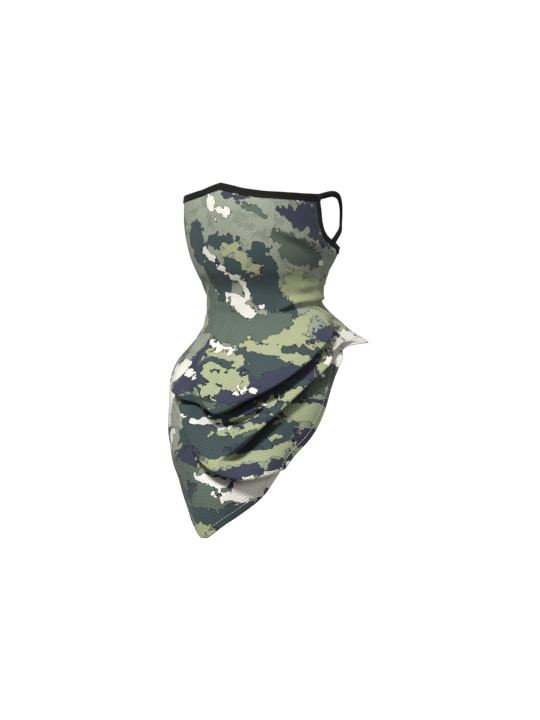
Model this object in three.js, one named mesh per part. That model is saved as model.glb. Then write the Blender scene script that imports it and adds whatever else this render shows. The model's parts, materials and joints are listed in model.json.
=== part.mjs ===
// Ear-loop neck gaiter with a pointed bandana drape, shaped as it is worn.
// Millimetres. +Z up, the face looks along -Y, the wearer's left is +X.
// The origin is on the neck axis, level with the lower ends of the ears.
import * as THREE from 'three';

// ---- Overall sizes, over the cloth ----
const FACE_BREADTH = 157;        // across both cheeks
const FACE_REACH = 95;           // neck axis to the front of the mouth
const NAPE_REACH = 88;           // neck axis to the back of the head
const NECK_BREADTH = 130;        // across the narrowest of the neck
const DRAPE_BREADTH = 202;       // across the drape at its widest
const DRAPE_REACH = 131;         // neck axis to the front of the point
const DRAPE_DROP = 352;          // origin down to the point

// ---- Cloth and trim ----
const CLOTH = 1.4;               // knit cloth
const GAP = 0.45;                // between one layer and the next
const BINDING = 0.8;             // folded binding tape, one layer
const BINDING_DEPTH = 7;         // how far the tape reaches onto the cloth
const HEM_DEPTH = 8;             // turned-up hem
const HEM = 0.9;                 // hem layer
const HEM_STITCH_INSET = 6.5;    // stitch line above the hem's edge
const THREAD = 0.7;              // sewing thread
const SEAM_WIDTH = 9;            // pressed seam allowance of a side seam
const STRAP_WIDTH = 6;           // ear loop strap
const STRAP = 2.2;               // ear loop strap, folded
const TACK = 0.8;                // bar tack
const TACK_LENGTH = 1.8;         // bar tack, along the edge

// ---- Angles round the neck axis, degrees from the front, wearer's left positive ----
const CHEEK_ANGLE = 79;          // top corner of the cheek
const LOOP_END_ANGLE = 105;      // where the ear loop comes back to the edge
const SIDE_ANGLE = 118;          // side seam and lower corner
const BACK_ANGLE = 180;
const TAIL_ANGLE = 46;           // half the point's spread at its fold line
const COLUMN = 5;                // spacing of the facets

// ---- Heights ----
const NOSE_HEIGHT = 33;
const CHEEK_HEIGHT = 23;
const CORNER_HEIGHT = -31;
const NAPE_HEIGHT = -38;
const FOLD_HEIGHT = -0.7585 * DRAPE_DROP;   // line the point lifts about
const SIDE_CORNER_HEIGHT = -140;
const CORNER_FLARE = 15;         // how far the lower corner stands out
const NOSE_RIDGE = 5;            // the nose bridge stands forward of the face

// Cross-sections of the worn cloth: height, half breadth, reach forward, reach back, squareness.
const LEVELS = [
  [70, 0.485 * FACE_BREADTH, 0.89 * FACE_REACH, 0.95 * NAPE_REACH, 2.6],
  [42, 0.495 * FACE_BREADTH, 0.93 * FACE_REACH, 0.98 * NAPE_REACH, 2.7],
  [15, 0.5 * FACE_BREADTH, FACE_REACH, NAPE_REACH, 2.7],
  [-15, 0.5 * FACE_BREADTH, FACE_REACH, NAPE_REACH, 2.6],
  [-40, 0.485 * FACE_BREADTH, 0.95 * FACE_REACH, 0.95 * NAPE_REACH, 2.5],
  [-62, 0.45 * FACE_BREADTH, 0.86 * FACE_REACH, 0.8 * NAPE_REACH, 2.3],
  [-80, 0.51 * NECK_BREADTH, 0.72 * FACE_REACH, 0.75 * NAPE_REACH, 2.1],
  [-98, 0.5 * NECK_BREADTH, 0.675 * FACE_REACH, 0.76 * NAPE_REACH, 2.1],
  [-118, 0.57 * NECK_BREADTH, 0.675 * FACE_REACH, 0.97 * NAPE_REACH, 2.2],
  [-140, 0.45 * DRAPE_BREADTH, 0.58 * DRAPE_REACH, 99, 2.2],
  [-0.483 * DRAPE_DROP, 0.5 * DRAPE_BREADTH, 0.77 * DRAPE_REACH, 99, 2.2],
  [-0.582 * DRAPE_DROP, 0.5 * DRAPE_BREADTH, 0.87 * DRAPE_REACH, 99, 2.2],
  [-0.668 * DRAPE_DROP, 0.49 * DRAPE_BREADTH, 0.92 * DRAPE_REACH, 99, 2.2],
  [-0.753 * DRAPE_DROP, 0.45 * DRAPE_BREADTH, 0.96 * DRAPE_REACH, 99, 2.2],
  [-0.838 * DRAPE_DROP, 0.38 * DRAPE_BREADTH, 0.985 * DRAPE_REACH, 99, 2.1],
  [-0.923 * DRAPE_DROP, 0.3 * DRAPE_BREADTH, DRAPE_REACH, 99, 2.0],
  [-1.023 * DRAPE_DROP, 0.2 * DRAPE_BREADTH, DRAPE_REACH, 99, 2.0],
];

// The upper edge and the hem, as angle and height from the front to the side.
const NOSE_EDGE = [
  [0, NOSE_HEIGHT], [8, NOSE_HEIGHT - 3], [18, NOSE_HEIGHT - 7], [32, CHEEK_HEIGHT],
  [56, CHEEK_HEIGHT - 1], [CHEEK_ANGLE, CHEEK_HEIGHT],
];
const EAR_EDGE = [
  [CHEEK_ANGLE, CHEEK_HEIGHT], [CHEEK_ANGLE + 3, 5], [CHEEK_ANGLE + 5, -8],
  [CHEEK_ANGLE + 9, -17], [LOOP_END_ANGLE - 9, -23.5], [SIDE_ANGLE, CORNER_HEIGHT],
  [BACK_ANGLE, NAPE_HEIGHT],
];
const HEM_EDGE = [
  [0, -DRAPE_DROP], [7, -0.963 * DRAPE_DROP], [16, -0.929 * DRAPE_DROP],
  [29, -0.875 * DRAPE_DROP], [TAIL_ANGLE, FOLD_HEIGHT], [60, -0.69 * DRAPE_DROP],
  [69, -0.62 * DRAPE_DROP], [77, -0.53 * DRAPE_DROP], [85, -0.46 * DRAPE_DROP],
  [98, SIDE_CORNER_HEIGHT - 8], [SIDE_ANGLE, SIDE_CORNER_HEIGHT],
];
const LOOP_CENTRE = [
  [CHEEK_ANGLE + 3.4, 21.4], [CHEEK_ANGLE + 11, 23.3], [99, 25.5], [108, 26], [116, 24], [122, 19], [126.5, 11],
  [128, 2], [126, -7], [121.5, -14], [LOOP_END_ANGLE + 10.5, -19.6],
  [LOOP_END_ANGLE + 4.4, -23.35],
];

const RADIANS = Math.PI / 180;

function between(points, at) {
  const last = points.length - 1;
  if (at <= points[0][0]) return points[0][1];
  for (let i = 0; i < last; i++) {
    const [a, low] = points[i];
    const [b, high] = points[i + 1];
    if (at <= b) return low + (high - low) * (at - a) / (b - a);
  }
  return points[last][1];
}

function levelAt(height) {
  const last = LEVELS.length - 1;
  if (height >= LEVELS[0][0]) return LEVELS[0];
  if (height <= LEVELS[last][0]) return LEVELS[last];
  const i = LEVELS.findIndex((level, k) => height <= level[0] && height > LEVELS[k + 1][0]);
  const [a, b] = [LEVELS[i], LEVELS[i + 1]];
  const [before, after] = [LEVELS[Math.max(i - 1, 0)], LEVELS[Math.min(i + 2, last)]];
  const span = b[0] - a[0];
  const t = (height - a[0]) / span;
  return a.map((value, k) => {
    const inSlope = (b[k] - before[k]) / (b[0] - before[0] || 1);
    const outSlope = (after[k] - value) / (after[0] - a[0] || 1);
    return (2 * t ** 3 - 3 * t ** 2 + 1) * value + (t ** 3 - 2 * t ** 2 + t) * span * inSlope
      + (-2 * t ** 3 + 3 * t ** 2) * b[k] + (t ** 3 - t ** 2) * span * outSlope;
  });
}

// A point of the worn cloth's outer face, `depth` further in towards the neck.
function cloth(angle, height, depth = 0) {
  const [, half, front, back, square] = levelAt(height);
  const sine = Math.sin(angle * RADIANS);
  const cosine = Math.cos(angle * RADIANS);
  const reach = cosine > 0 ? front : back;
  const spread = Math.abs(sine / half) ** square + Math.abs(cosine / reach) ** square;
  const drop = THREE.MathUtils.smoothstep(-height, 112, -SIDE_CORNER_HEIGHT);
  const fromFront = Math.acos(THREE.MathUtils.clamp(cosine, -1, 1)) / RADIANS;
  const away = (fromFront - SIDE_ANGLE) / 13;
  const flare = CORNER_FLARE * drop * Math.exp(-away * away);
  const ridge = NOSE_RIDGE * Math.exp(-((fromFront / 11) ** 2)) * THREE.MathUtils.smoothstep(height, -40, 30);
  const radius = spread ** (-1 / square) + flare + ridge - depth;
  return new THREE.Vector3(radius * sine, -radius * cosine, height);
}

function solid(name, positions, triangles, look) {
  const geometry = new THREE.BufferGeometry();
  geometry.setAttribute('position', new THREE.Float32BufferAttribute(positions, 3));
  geometry.setIndex(triangles);
  geometry.computeVertexNormals();
  const mesh = new THREE.Mesh(geometry, new THREE.MeshStandardMaterial(look));
  mesh.name = name;
  return mesh;
}

// Facet columns between two angles, ends included.
function columns(from, to, extra = []) {
  const list = [from, to, ...extra];
  for (let a = Math.ceil(from / COLUMN) * COLUMN; a < to; a += COLUMN) {
    if (list.every((other) => Math.abs(other - a) > 1.2)) list.push(a);
  }
  return list.sort((a, b) => a - b);
}

// Cloth between an upper and a lower edge, as a thin closed solid. Rows are closer at the edges.
function panel(name, angles, top, bottom, rows, look) {
  const positions = [];
  const triangles = [];
  const wide = rows + 1;
  const layer = angles.length * wide;
  for (const depth of [0, CLOTH]) {
    for (const angle of angles) {
      for (let row = 0; row <= rows; row++) {
        const share = row / rows - 0.06 * Math.sin(2 * Math.PI * row / rows);
        const height = top(angle) + (bottom(angle) - top(angle)) * share;
        positions.push(...cloth(angle, height, depth).toArray());
      }
    }
  }
  const quad = (a, b, c, d) => triangles.push(a, b, c, a, c, d);
  for (let i = 0; i + 1 < angles.length; i++) {
    const onLeft = Math.sin((angles[i] + angles[i + 1]) / 2 * RADIANS) > 0;
    for (let row = 0; row < rows; row++) {
      const a = i * wide + row;
      const corners = [a, a + 1, a + 1 + wide, a + wide];
      const outer = onLeft ? corners : [...corners.slice(1), corners[0]];
      quad(...outer);
      const [p, q, r, s] = outer.map((corner) => corner + layer);
      quad(p, s, r, q);
    }
    const low = i * wide + rows;
    const high = i * wide;
    quad(low, layer + low, layer + low + wide, low + wide);
    quad(high, high + wide, layer + high + wide, layer + high);
  }
  const end = (angles.length - 1) * wide;
  for (let row = 0; row < rows; row++) {
    quad(row, layer + row, layer + row + 1, row + 1);
    quad(end + row, end + row + 1, layer + end + row + 1, layer + end + row);
  }
  return solid(name, positions, triangles, look);
}

// A trim strip along a line on the cloth. Each section point is [depth below the outer
// face, distance across the line]; `side` 1 counts that distance to the line's right.
// A section that goes `beyond` the cloth's edge leaves it straight.
function trim(name, line, section, side, look, beyond = true) {
  const rings = line.map(([angle, height], i) => {
    const [angle0, height0] = line[Math.max(i - 1, 0)];
    const [angle1, height1] = line[Math.min(i + 1, line.length - 1)];
    const along = cloth(angle1, height1).sub(cloth(angle0, height0)).normalize();
    const turn = cloth(angle + 0.5, height).sub(cloth(angle - 0.5, height));
    const fall = cloth(angle, height + 0.5).sub(cloth(angle, height - 0.5));
    const out = new THREE.Vector3().crossVectors(turn, fall).normalize();
    const across = new THREE.Vector3().crossVectors(along, out).multiplyScalar(side);
    const flat = new THREE.Vector3(turn.x, turn.y, 0);
    const turns = across.dot(flat.clone().normalize()) / flat.length();
    const falls = across.z / fall.z;
    return section.map(([depth, reach]) => {
      const onCloth = beyond && reach < 0 ? 0 : reach;
      const point = cloth(angle + turns * onCloth, height + falls * onCloth);
      point.addScaledVector(out, -depth);
      return point.addScaledVector(across, reach - onCloth);
    });
  });
  return loft(name, rings, section, look);
}

// A closed solid through a row of equal rings.
function loft(name, rings, section, look) {
  const count = section.length;
  const positions = rings.flat().flatMap((point) => point.toArray());
  const triangles = [];
  for (let i = 0; i + 1 < rings.length; i++) {
    for (let k = 0; k < count; k++) {
      const a = i * count + k;
      const b = i * count + (k + 1) % count;
      triangles.push(a, b, b + count, a, b + count, a + count);
    }
  }
  const last = (rings.length - 1) * count;
  const outline = section.map(([x, y]) => new THREE.Vector2(x, y));
  for (const [a, b, c] of THREE.ShapeUtils.triangulateShape(outline, [])) {
    triangles.push(a, c, b);
    triangles.push(last + a, last + b, last + c);
  }
  const mesh = solid(name, positions, triangles, look);
  if (enclosed(mesh.geometry) < 0) mesh.geometry.setIndex(triangles.slice().reverse());
  mesh.geometry.computeVertexNormals();
  return mesh;
}

function enclosed(geometry) {
  const position = geometry.getAttribute('position');
  const index = geometry.getIndex();
  const [a, b, c] = [new THREE.Vector3(), new THREE.Vector3(), new THREE.Vector3()];
  let volume = 0;
  for (let i = 0; i < index.count; i += 3) {
    a.fromBufferAttribute(position, index.getX(i));
    b.fromBufferAttribute(position, index.getX(i + 1));
    c.fromBufferAttribute(position, index.getX(i + 2));
    volume += a.dot(b.cross(c)) / 6;
  }
  return volume;
}

const block = (near, far, low, high) => [[near, low], [far, low], [far, high], [near, high]];
const mirrored = (line) => line.map(([angle, height]) => [-angle, height]);
const hemHeight = (angle) => between(HEM_EDGE, Math.abs(angle));
const earHeight = (angle) => between(EAR_EDGE, Math.abs(angle));
const noseHeight = (angle) => between(NOSE_EDGE, Math.abs(angle));

function edge(angles, heightAt) {
  return angles.map((angle) => [angle, heightAt(angle)]);
}

// The ear edge: its steep part has short steps of its own, the rest the panels' columns.
function earEdge(from, to) {
  const steep = EAR_EDGE.slice(0, 4);
  const line = [];
  for (let i = 0; i + 1 < steep.length; i++) {
    for (let k = 0; k < 3; k++) {
      line.push([0, 1].map((c) => steep[i][c] + (steep[i + 1][c] - steep[i][c]) * k / 3));
    }
  }
  const knots = EAR_EDGE.map(([angle]) => angle).filter((angle) => angle < BACK_ANGLE);
  const level = columns(steep[3][0], BACK_ANGLE, knots.slice(4)).map((angle) => [angle, earHeight(angle)]);
  const inside = [...line, ...level].filter(([angle]) => angle > from + 0.4 && angle < to - 0.8);
  return [[from, earHeight(from)], ...inside, [to, earHeight(to)]];
}

const CAMO = { color: 0x6f7869, roughness: 0.95, metalness: 0 };
const TAPE = { color: 0x1b1e18, roughness: 0.9, metalness: 0 };
const SEWING = { color: 0xb9bfae, roughness: 0.8, metalness: 0 };
const BLACK_SEWING = { color: 0x101210, roughness: 0.8, metalness: 0 };

const OUTER = -(GAP + BINDING);
const INNER = CLOTH + GAP + BINDING;
const TAPE_SECTION = [
  [OUTER, BINDING_DEPTH], [OUTER, OUTER], [INNER, OUTER], [INNER, BINDING_DEPTH],
  [INNER - BINDING, BINDING_DEPTH], [INNER - BINDING, -GAP], [-GAP, -GAP], [-GAP, BINDING_DEPTH],
];
const HEM_SECTION = block(CLOTH + 1.6 * GAP, CLOTH + 1.6 * GAP + HEM, 0.4, HEM_DEPTH);
const HEM_THREAD = block(-1.3 * GAP - THREAD, -1.3 * GAP, HEM_STITCH_INSET, HEM_STITCH_INSET + THREAD);
const TAPE_THREAD_REACH = BINDING_DEPTH - 1.2 - THREAD;
const TAPE_THREAD = block(OUTER - GAP - THREAD, OUTER - GAP, TAPE_THREAD_REACH,
  TAPE_THREAD_REACH + THREAD);

const group = new THREE.Group();
const SPLIT = GAP;

// ---- Cloth panels ----
const frontAngles = columns(-SIDE_ANGLE + 0.15, SIDE_ANGLE - 0.15,
  [...EAR_EDGE, ...NOSE_EDGE.slice(1), [TAIL_ANGLE, 0]].map(([angle]) => angle)
    .filter((angle) => angle < SIDE_ANGLE).flatMap((angle) => [angle, -angle]));
const frontTop = (angle) => (Math.abs(angle) < CHEEK_ANGLE ? noseHeight(angle) : earHeight(angle));
const frontBottom = (angle) => Math.max(hemHeight(angle), FOLD_HEIGHT + SPLIT);
group.add(panel('front_panel', [...new Set(frontAngles)], frontTop, frontBottom, 17, CAMO));

const backAngles = columns(SIDE_ANGLE + 0.15, 360 - SIDE_ANGLE - 0.15);
const foldedAngle = (angle) => (angle > 180 ? angle - 360 : angle);
group.add(panel('back_panel', backAngles, (angle) => earHeight(foldedAngle(angle)),
  () => SIDE_CORNER_HEIGHT, 11, CAMO));

const tailEnd = TAIL_ANGLE - 3;
const tailAngles = columns(-tailEnd, tailEnd, [7, -7, 16, -16, 29, -29]);
group.add(panel('bandana_point', tailAngles, () => FOLD_HEIGHT - SPLIT, hemHeight, 7, CAMO));

// ---- Nose, ear and nape bindings ----
const noseEnd = CHEEK_ANGLE + 2.2;
const noseAngles = columns(-noseEnd, noseEnd, [8, -8, 18, -18, 32, -32, 56, -56]);
const noseLine = edge(noseAngles, noseHeight);
group.add(trim('nose_binding', noseLine, TAPE_SECTION, 1, TAPE));
group.add(trim('nose_binding_thread', noseLine, TAPE_THREAD, 1, BLACK_SEWING));

const earStart = CHEEK_ANGLE + (BINDING_DEPTH + 1.1) * 3 / (CHEEK_HEIGHT - 5);
const napeLine = [
  ...earEdge(LOOP_END_ANGLE + 0.3, BACK_ANGLE).slice(0, -1),
  ...earEdge(LOOP_END_ANGLE + 0.3, BACK_ANGLE).map(([angle, height]) => [360 - angle, height])
    .reverse(),
];
group.add(trim('nape_binding', napeLine, TAPE_SECTION, 1, TAPE));
group.add(trim('nape_binding_thread', napeLine, TAPE_THREAD, 1, BLACK_SEWING));

// ---- Back hem ----
const backHemLine = edge(columns(SIDE_ANGLE + 0.9, 360 - SIDE_ANGLE - 0.9), () => SIDE_CORNER_HEIGHT);
group.add(trim('back_hem', backHemLine, HEM_SECTION, -1, CAMO));
group.add(trim('back_hem_thread', backHemLine, HEM_THREAD, -1, SEWING));

// ---- Pieces that come in a left and a right ----
const HANDS = [['left', 1], ['right', -1]];
for (const [hand, way] of HANDS) {
  const toHand = (line) => (way === 1 ? line : mirrored(line));
  group.add(trim(`ear_binding_${hand}`, toHand(earEdge(earStart, LOOP_END_ANGLE)),
    TAPE_SECTION, way, TAPE));

  const half = STRAP_WIDTH / 2;
  const strap = [[-STRAP / 2, -half], [STRAP / 2, -half], [STRAP / 2, half], [-STRAP / 2, half]]
    .map(([depth, reach]) => [depth + CLOTH / 2, reach]);
  group.add(trim(`ear_loop_${hand}`, toHand(LOOP_CENTRE), strap, way, TAPE));

  const upperTack = edge([noseEnd - 0.4 - TACK_LENGTH, noseEnd - 0.4], noseHeight);
  const lowerTack = earEdge(LOOP_END_ANGLE + 2.2, LOOP_END_ANGLE + 2.2 + TACK_LENGTH);
  for (const [place, line] of [['upper', upperTack], ['lower', lowerTack]]) {
    group.add(trim(`${place}_tack_${hand}`, toHand(line),
      block(OUTER - GAP - TACK, OUTER - GAP, 0, TAPE_THREAD_REACH - 0.5), way, BLACK_SEWING));
  }

  const seamTop = CORNER_HEIGHT - BINDING_DEPTH - 1.2;
  const seamBottom = SIDE_CORNER_HEIGHT + HEM_DEPTH + 0.8;
  const seamLine = [];
  for (let row = 0; row <= 11; row++) {
    seamLine.push([SIDE_ANGLE, seamTop + (seamBottom - seamTop) * row / 11]);
  }
  group.add(trim(`side_seam_${hand}`, toHand(seamLine),
    block(CLOTH + GAP, CLOTH + GAP + HEM, -SEAM_WIDTH / 2, SEAM_WIDTH / 2), way, CAMO, false));

  const knots = HEM_EDGE.map(([angle]) => angle);
  const inside = (from, to) => knots.filter((angle) => angle > from + 1 && angle < to - 1);
  const sideAngles = columns(TAIL_ANGLE + 2.5, SIDE_ANGLE - 0.6, inside(TAIL_ANGLE + 2.5, SIDE_ANGLE));
  const pointAngles = columns(3.5, tailEnd - 5.5, inside(3.5, tailEnd - 5.5));
  group.add(trim(`side_hem_${hand}`, toHand(edge(sideAngles, hemHeight)), HEM_SECTION, -way, CAMO));
  group.add(trim(`side_hem_thread_${hand}`, toHand(edge(sideAngles, hemHeight)), HEM_THREAD, -way,
    SEWING));
  group.add(trim(`point_hem_${hand}`, toHand(edge(pointAngles, hemHeight)), HEM_SECTION, -way, CAMO));
  group.add(trim(`point_hem_thread_${hand}`, toHand(edge(pointAngles, hemHeight)), HEM_THREAD, -way,
    SEWING));
}

export default group;
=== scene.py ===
"""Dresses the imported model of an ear-loop neck gaiter: printed knit, folds, bindings and hems."""
import json
import logging
import math
from collections.abc import Callable, Sequence
from dataclasses import dataclass
from enum import Enum

import bmesh
import bpy
import numpy as np
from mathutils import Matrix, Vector, noise

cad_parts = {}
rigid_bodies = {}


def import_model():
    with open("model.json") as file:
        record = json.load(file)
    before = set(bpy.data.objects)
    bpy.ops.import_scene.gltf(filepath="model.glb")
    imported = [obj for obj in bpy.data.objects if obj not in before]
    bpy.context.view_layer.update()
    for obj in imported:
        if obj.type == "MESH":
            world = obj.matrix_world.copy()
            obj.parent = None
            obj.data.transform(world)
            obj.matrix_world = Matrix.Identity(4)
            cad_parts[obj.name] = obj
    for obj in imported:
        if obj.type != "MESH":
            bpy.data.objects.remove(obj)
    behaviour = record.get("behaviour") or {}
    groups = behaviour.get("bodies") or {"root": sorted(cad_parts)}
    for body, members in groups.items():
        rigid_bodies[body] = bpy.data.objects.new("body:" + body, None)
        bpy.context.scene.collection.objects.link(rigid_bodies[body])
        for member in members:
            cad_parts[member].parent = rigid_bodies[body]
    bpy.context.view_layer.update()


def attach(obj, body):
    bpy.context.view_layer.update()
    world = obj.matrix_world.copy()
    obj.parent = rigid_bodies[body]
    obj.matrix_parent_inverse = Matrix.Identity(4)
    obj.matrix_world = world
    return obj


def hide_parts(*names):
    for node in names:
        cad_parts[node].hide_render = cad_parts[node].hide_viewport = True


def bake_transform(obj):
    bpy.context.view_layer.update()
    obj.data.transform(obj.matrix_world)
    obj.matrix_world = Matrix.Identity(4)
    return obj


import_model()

logging.basicConfig(level=logging.INFO, format="%(message)s")
LOG = logging.getLogger("gaiter")

Array = np.ndarray
Line = tuple[tuple[float, float], ...]
Material = bpy.types.Material
Piece = bpy.types.Object
Socket = bpy.types.NodeSocket
Tree = bpy.types.NodeTree

MM = 0.001                       # a millimetre, in metres
PER_METRE = 1000.0               # millimetres in a metre

# ---------------------------------------------------------------- sizes, millimetres and degrees
FACE_BREADTH = 157.0
FACE_REACH = 95.0
NAPE_REACH = 88.0
NECK_BREADTH = 130.0
DRAPE_BREADTH = 202.0
DRAPE_REACH = 131.0
DRAPE_BACK = 99.0
DRAPE_DROP = 352.0
CLOTH = 0.7
BINDING_DEPTH = 7.0
HEM_DEPTH = 8.0
STITCH_INSET = 6.5
CHEEK_ANGLE = 79.0
LOOP_END_ANGLE = 105.0
SIDE_ANGLE = 118.0
TAIL_ANGLE = 46.0
NOSE_HEIGHT = 33.0
CHEEK_HEIGHT = 23.0
CORNER_HEIGHT = -31.0
NAPE_HEIGHT = -38.0
SIDE_CORNER_HEIGHT = -140.0
FOLD_HEIGHT = -0.7585 * DRAPE_DROP
FLARE_TOP = 112.0                # how far down the side corners' flare starts
CORNER_FLARE = 15.0
FLARE_SPREAD = 13.0
NOSE_RIDGE = 5.0
RIDGE_SPREAD = 11.0
RIDGE_FOOT, RIDGE_TOP = -40.0, 30.0
POINT_ROUND = 3.0                # degrees over which the point of the hem is rounded
POINT_EASE = 14.0
ARC = 95.0 * math.pi / 180.0     # cloth per degree round the neck, for the print's layout
FULL_TURN, HALF_TURN = 360.0, 180.0
NUDGE = 0.25                     # step over which a direction on the cloth is read

# Height, half breadth, reach forward, reach back, squareness of each level of the worn form.
LEVELS = np.array([
    (70, 0.485 * FACE_BREADTH, 0.89 * FACE_REACH, 0.95 * NAPE_REACH, 2.6),
    (42, 0.495 * FACE_BREADTH, 0.93 * FACE_REACH, 0.98 * NAPE_REACH, 2.7),
    (15, 0.5 * FACE_BREADTH, FACE_REACH, NAPE_REACH, 2.7),
    (-15, 0.5 * FACE_BREADTH, FACE_REACH, NAPE_REACH, 2.6),
    (-40, 0.485 * FACE_BREADTH, 0.95 * FACE_REACH, 0.95 * NAPE_REACH, 2.5),
    (-62, 0.45 * FACE_BREADTH, 0.86 * FACE_REACH, 0.8 * NAPE_REACH, 2.3),
    (-80, 0.51 * NECK_BREADTH, 0.72 * FACE_REACH, 0.75 * NAPE_REACH, 2.1),
    (-98, 0.5 * NECK_BREADTH, 0.675 * FACE_REACH, 0.76 * NAPE_REACH, 2.1),
    (-118, 0.57 * NECK_BREADTH, 0.675 * FACE_REACH, 0.97 * NAPE_REACH, 2.2),
    (-140, 0.45 * DRAPE_BREADTH, 0.58 * DRAPE_REACH, DRAPE_BACK, 2.2),
    (-0.483 * DRAPE_DROP, 0.5 * DRAPE_BREADTH, 0.77 * DRAPE_REACH, DRAPE_BACK, 2.2),
    (-0.582 * DRAPE_DROP, 0.5 * DRAPE_BREADTH, 0.87 * DRAPE_REACH, DRAPE_BACK, 2.2),
    (-0.668 * DRAPE_DROP, 0.49 * DRAPE_BREADTH, 0.92 * DRAPE_REACH, DRAPE_BACK, 2.2),
    (-0.753 * DRAPE_DROP, 0.45 * DRAPE_BREADTH, 0.96 * DRAPE_REACH, DRAPE_BACK, 2.2),
    (-0.838 * DRAPE_DROP, 0.38 * DRAPE_BREADTH, 0.985 * DRAPE_REACH, DRAPE_BACK, 2.1),
    (-0.923 * DRAPE_DROP, 0.3 * DRAPE_BREADTH, DRAPE_REACH, DRAPE_BACK, 2.0),
    (-1.023 * DRAPE_DROP, 0.2 * DRAPE_BREADTH, DRAPE_REACH, DRAPE_BACK, 2.0),
])

# Angle and height along each edge, from the front to the back.
NOSE_EDGE: Line = (
    (0, NOSE_HEIGHT), (8, NOSE_HEIGHT - 3), (18, NOSE_HEIGHT - 7), (32, CHEEK_HEIGHT),
    (56, CHEEK_HEIGHT - 1), (CHEEK_ANGLE, CHEEK_HEIGHT), (90, CHEEK_HEIGHT + 1),
)
EAR_EDGE: Line = (
    (CHEEK_ANGLE, CHEEK_HEIGHT), (CHEEK_ANGLE + 3, 5), (CHEEK_ANGLE + 5, -8),
    (CHEEK_ANGLE + 9, -17), (LOOP_END_ANGLE - 9, -23.5), (SIDE_ANGLE, CORNER_HEIGHT),
    (180, NAPE_HEIGHT),
)
HEM_EDGE: Line = (
    (0, -DRAPE_DROP), (7, -0.963 * DRAPE_DROP), (16, -0.929 * DRAPE_DROP),
    (29, -0.875 * DRAPE_DROP), (TAIL_ANGLE, FOLD_HEIGHT), (60, -0.69 * DRAPE_DROP),
    (69, -0.62 * DRAPE_DROP), (77, -0.53 * DRAPE_DROP), (85, -0.46 * DRAPE_DROP),
    (98, SIDE_CORNER_HEIGHT - 8), (SIDE_ANGLE, SIDE_CORNER_HEIGHT), (180, SIDE_CORNER_HEIGHT),
)
LOOP_CENTRE: Line = (
    (80.4, 20.8), (84, 21.8), (90, 23.3), (99, 25.5), (108, 26), (116, 24), (122, 19),
    (126.5, 11), (128, 2), (126, -7), (121.5, -14), (115.5, -19.6), (109.4, -23.6),
    (105.5, -26.4),
)


# ---------------------------------------------------------------- curves
def smoothstep(value: Array, low: float, high: float) -> Array:
    """Eases from 0 at low to 1 at high."""
    t = np.clip((value - low) / (high - low), 0.0, 1.0)
    return t * t * (3.0 - 2.0 * t)


def spanned(t: Array, span: Array, ends: tuple[Array, Array], slopes: tuple[Array, Array]) -> Array:
    """Reads a cubic curve between two points.

    Args:
        t: place between the points, 0 to 1.
        span: distance between the points.
        ends: the curve's value at each point.
        slopes: the curve's slope at each point.

    Returns:
        The curve's values.
    """
    return ((2 * t**3 - 3 * t**2 + 1) * ends[0] + (t**3 - 2 * t**2 + t) * span * slopes[0]
            + (-2 * t**3 + 3 * t**2) * ends[1] + (t**3 - t**2) * span * slopes[1])


def piece_of(marks: Array, at: Array) -> Array:
    """Finds which span of rising marks each place lies in."""
    return np.clip(np.searchsorted(marks, at, side="right") - 1, 0, len(marks) - 2)


def curve_through(points: Line, at: Array) -> Array:
    """Reads a smooth curve that never overshoots its points.

    Args:
        points: the curve's points, by rising first value.
        at: where to read it.

    Returns:
        The curve's values.
    """
    x, y = np.array(points, float).T
    rise = np.diff(y) / np.diff(x)
    slope = np.zeros_like(y)
    same = rise[:-1] * rise[1:] > 0
    slope[1:-1][same] = 2.0 / (1.0 / rise[:-1][same] + 1.0 / rise[1:][same])
    slope[0], slope[-1] = rise[0], rise[-1]
    i = piece_of(x, at)
    span = x[i + 1] - x[i]
    t = np.clip((at - x[i]) / span, 0.0, 1.0)
    return spanned(t, span, (y[i], y[i + 1]), (slope[i], slope[i + 1]))


def round_curve(marks: Array, values: Array, at: Array) -> Array:
    """Reads a round curve through values.

    Args:
        marks: each value's rising place along the curve.
        values: the values.
        at: where to read the curve.

    Returns:
        The curve's values.
    """
    slope = np.gradient(values, marks)
    i = piece_of(marks, at)
    span = marks[i + 1] - marks[i]
    t = (at - marks[i]) / span
    return spanned(t, span, (values[i], values[i + 1]), (slope[i], slope[i + 1]))


def folded(angle: Array) -> Array:
    """Brings an angle round the neck into -180 to 180 degrees."""
    return (np.asarray(angle, float) + HALF_TURN) % FULL_TURN - HALF_TURN


def unit(rows: Array) -> Array:
    """Scales each row to a length of 1."""
    return rows / np.maximum(np.linalg.norm(rows, axis=1, keepdims=True), 1e-6)


def lengths_along(points: Array) -> Array:
    """Returns how far along a line each of its points is, from 0."""
    return np.concatenate([[0], np.cumsum(np.linalg.norm(np.diff(points, axis=0), axis=1))])


# ---------------------------------------------------------------- the worn form
SLOT_REACH = 6.0                 # how far under a roll its dark slot reaches
SAG_REACH = 0.45                 # share of the roll that hangs down
SAG_RISE, SAG_SWING = 0.4, 1.4   # how the sag splits between above and below the line


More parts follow.
